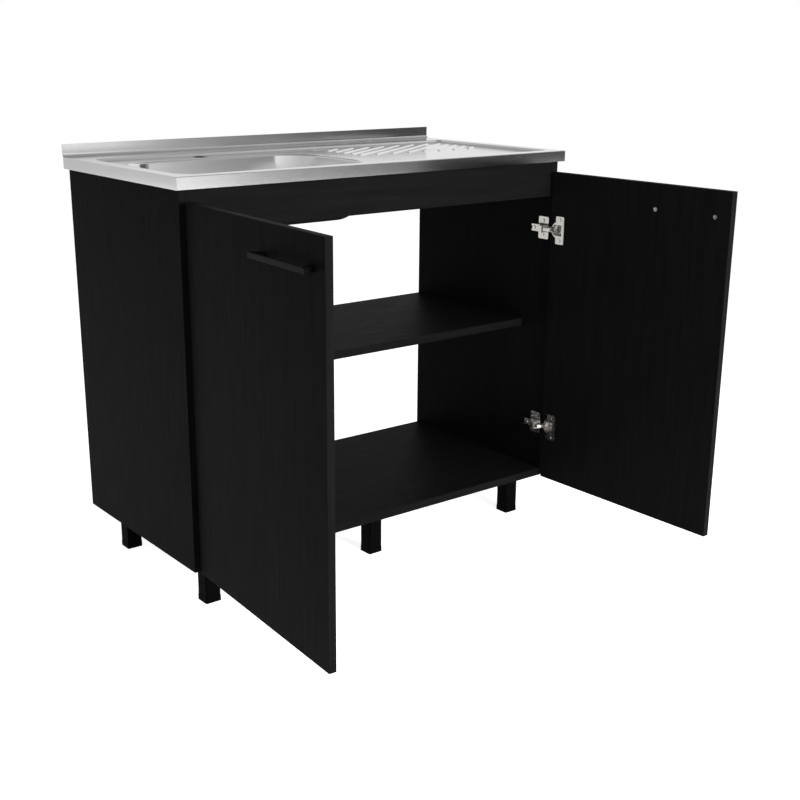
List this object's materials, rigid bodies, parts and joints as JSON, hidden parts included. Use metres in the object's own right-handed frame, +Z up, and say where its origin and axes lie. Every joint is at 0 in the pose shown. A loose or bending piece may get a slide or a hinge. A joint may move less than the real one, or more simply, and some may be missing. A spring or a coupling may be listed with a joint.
{
  "type": "kitchen sink unit",
  "caption": "Stainless steel sink top with bowl, drainboard and low backsplash on a black two-door base unit with a shelf and square legs; doors stand open.",
  "frame": {"origin": "on the floor, at the middle of the unit's width, in the plane of the wall behind it", "axes": "+X along the unit to the right as seen from the front, +Y back to the wall so the front faces -Y, +Z up"},
  "size_m": [1.0483, 0.9849, 0.913],
  "materials": {
    "stainless_steel": "fine brushed stainless sheet",
    "black_board": "black melamine faced board with a fine embossed grain",
    "black_metal": "satin black coating",
    "black_plastic": "moulded matt black plastic",
    "nickel_steel": "bright nickel plated pressed steel",
    "zinc_steel": "zinc plated steel",
    "bare_wood": "plain sawn softwood"
  },
  "bodies": {
    "cabinet": {"bottom_panel": "black_board", "cam_bolts": "zinc_steel", "cams": "zinc_steel", "dowels": "bare_wood", "front_apron": "black_board", "front_left_leg": "black_plastic", "front_middle_leg": "black_plastic", "front_right_leg": "black_plastic", "front_rim_batten": "bare_wood", "hinge_arm_pins": "nickel_steel", "hinge_arm_screws": "nickel_steel", "hinge_plate_screws": "nickel_steel", "left_rim_batten": "bare_wood", "left_side_panel": "black_board", "leg_caps": "black_plastic", "leg_screws": "zinc_steel", "lower_left_hinge_arm": "nickel_steel", "lower_left_hinge_plate": "nickel_steel", "lower_right_hinge_arm": "nickel_steel", "lower_right_hinge_plate": "nickel_steel", "rear_left_leg": "black_plastic", "rear_middle_leg": "black_plastic", "rear_rail": "black_board", "rear_right_leg": "black_plastic", "right_rim_batten": "bare_wood", "right_side_panel": "black_board", "shelf": "black_board", "shelf_pins": "zinc_steel", "sink_top": "stainless_steel", "upper_left_hinge_arm": "nickel_steel", "upper_left_hinge_plate": "nickel_steel", "upper_right_hinge_arm": "nickel_steel", "upper_right_hinge_plate": "nickel_steel"},
    "right_outer_links": {"lower_right_outer_link": "nickel_steel", "upper_right_outer_link": "nickel_steel"},
    "right_inner_links": {"lower_right_inner_link": "nickel_steel", "upper_right_inner_link": "nickel_steel"},
    "right_door": {"lower_right_hinge_cup": "nickel_steel", "right_cup_pins": "nickel_steel", "right_cup_screws": "nickel_steel", "right_door": "black_board", "right_handle": "black_metal", "right_handle_screws": "zinc_steel", "upper_right_hinge_cup": "nickel_steel"},
    "left_outer_links": {"lower_left_outer_link": "nickel_steel", "upper_left_outer_link": "nickel_steel"},
    "left_inner_links": {"lower_left_inner_link": "nickel_steel", "upper_left_inner_link": "nickel_steel"},
    "left_door": {"left_cup_pins": "nickel_steel", "left_cup_screws": "nickel_steel", "left_door": "black_board", "left_handle": "black_metal", "left_handle_screws": "zinc_steel", "lower_left_hinge_cup": "nickel_steel", "upper_left_hinge_cup": "nickel_steel"}
  },
  "joints": [
    {"name": "right_door_swing", "type": "hinge", "parent": "right_outer_links", "child": "right_door", "pos_m": [0.47191, -0.50487, 0.47], "axis": [0, 0, 1], "range_deg": [-141.96, 6.24]},
    {"name": "right_outer_link_turn", "type": "hinge", "parent": "cabinet", "child": "right_outer_links", "pos_m": [0.464, -0.4894, 0.47], "axis": [0, 0, 1], "range_deg": [-8.24, 56.96]},
    {"name": "right_inner_link_turn", "type": "hinge", "parent": "cabinet", "child": "right_inner_links", "pos_m": [0.452, -0.4788, 0.47], "axis": [0, 0, 1], "range_deg": [-7.6, 42.4]},
    {"name": "left_door_swing", "type": "hinge", "parent": "left_outer_links", "child": "left_door", "pos_m": [-0.47153, -0.50506, 0.47], "axis": [0, 0, -1], "range_deg": [-145.86, 2.34]},
    {"name": "left_outer_link_turn", "type": "hinge", "parent": "cabinet", "child": "left_outer_links", "pos_m": [-0.464, -0.4894, 0.47], "axis": [0, 0, -1], "range_deg": [-6.84, 58.36]},
    {"name": "left_inner_link_turn", "type": "hinge", "parent": "cabinet", "child": "left_inner_links", "pos_m": [-0.452, -0.4788, 0.47], "axis": [0, 0, -1], "range_deg": [-6.6, 43.4]}
  ],
  "couplings": [
    {"joint": "right_outer_link_turn", "follows": "right_door_swing", "ratio": -0.35897},
    {"joint": "right_inner_link_turn", "follows": "right_door_swing", "ratio": -0.25641},
    {"joint": "left_outer_link_turn", "follows": "left_door_swing", "ratio": -0.35897},
    {"joint": "left_inner_link_turn", "follows": "left_door_swing", "ratio": -0.25641}
  ]
}
